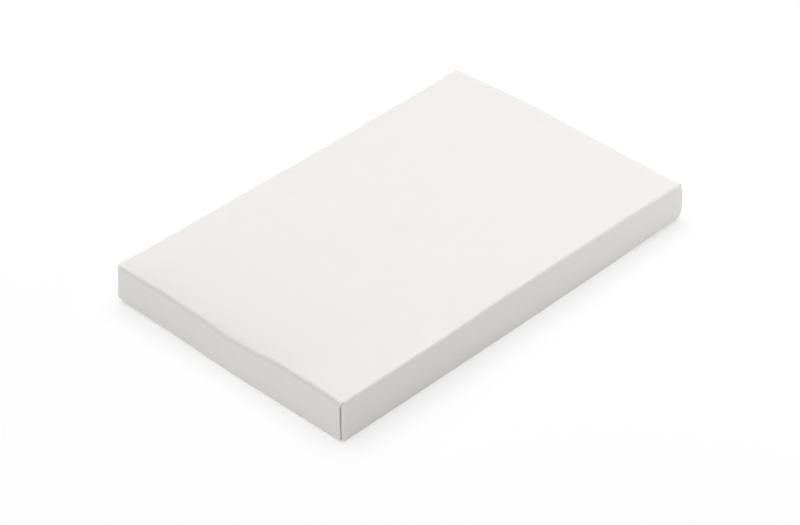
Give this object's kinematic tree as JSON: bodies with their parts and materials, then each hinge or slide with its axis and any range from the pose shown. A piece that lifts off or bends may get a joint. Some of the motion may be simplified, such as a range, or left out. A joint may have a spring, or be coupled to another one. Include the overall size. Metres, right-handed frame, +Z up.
{
  "type": "folding_carton",
  "caption": "Slim white cardboard folding carton lying flat, with a tuck-in closure and dust flaps at each end",
  "frame": {"origin": "centre of the carton's underside, at the bottom centre of its bounding box", "axes": "+X along the carton from the left closure to the right one, +Y from the front side panel to the back one, +Z up"},
  "size_m": [0.15, 0.095, 0.014],
  "materials": {
    "white_board": "matt coated white folding boxboard"
  },
  "bodies": {
    "sleeve": {"top_panel": "white_board", "bottom_panel": "white_board", "front_side_panel": "white_board", "back_side_panel": "white_board", "glue_flap": "white_board"},
    "left_closure": {"left_closure_panel": "white_board"},
    "left_tuck": {"left_tuck_flap": "white_board"},
    "left_front_dust": {"left_front_dust_flap": "white_board"},
    "left_back_dust": {"left_back_dust_flap": "white_board"},
    "right_closure": {"right_closure_panel": "white_board"},
    "right_tuck": {"right_tuck_flap": "white_board"},
    "right_front_dust": {"right_front_dust_flap": "white_board"},
    "right_back_dust": {"right_back_dust_flap": "white_board"}
  },
  "joints": [
    {"name": "left_closure_hinge", "type": "hinge", "parent": "sleeve", "child": "left_closure", "pos_m": [-0.075, 0, 0.014], "axis": [0, 1, 0], "range_deg": [0, 100]},
    {"name": "left_tuck_hinge", "type": "hinge", "parent": "left_closure", "child": "left_tuck", "pos_m": [-0.0744, 0, 0.00135], "axis": [0, 1, 0], "range_deg": [-50, 0]},
    {"name": "left_front_dust_hinge", "type": "hinge", "parent": "sleeve", "child": "left_front_dust", "pos_m": [-0.07365, -0.0469, 0.007], "axis": [0, 0, -1], "range_deg": [0, 75]},
    {"name": "left_back_dust_hinge", "type": "hinge", "parent": "sleeve", "child": "left_back_dust", "pos_m": [-0.07365, 0.0469, 0.007], "axis": [0, 0, 1], "range_deg": [0, 75]},
    {"name": "right_closure_hinge", "type": "hinge", "parent": "sleeve", "child": "right_closure", "pos_m": [0.075, 0, 0.014], "axis": [0, -1, 0], "range_deg": [0, 100]},
    {"name": "right_tuck_hinge", "type": "hinge", "parent": "right_closure", "child": "right_tuck", "pos_m": [0.0744, 0, 0.00135], "axis": [0, -1, 0], "range_deg": [-50, 0]},
    {"name": "right_front_dust_hinge", "type": "hinge", "parent": "sleeve", "child": "right_front_dust", "pos_m": [0.07365, -0.0469, 0.007], "axis": [0, 0, 1], "range_deg": [0, 75]},
    {"name": "right_back_dust_hinge", "type": "hinge", "parent": "sleeve", "child": "right_back_dust", "pos_m": [0.07365, 0.0469, 0.007], "axis": [0, 0, -1], "range_deg": [0, 75]}
  ],
  "couplings": [
    {"joint": "left_tuck_hinge", "follows": "left_closure_hinge", "ratio": -0.5},
    {"joint": "right_tuck_hinge", "follows": "right_closure_hinge", "ratio": -0.5}
  ]
}
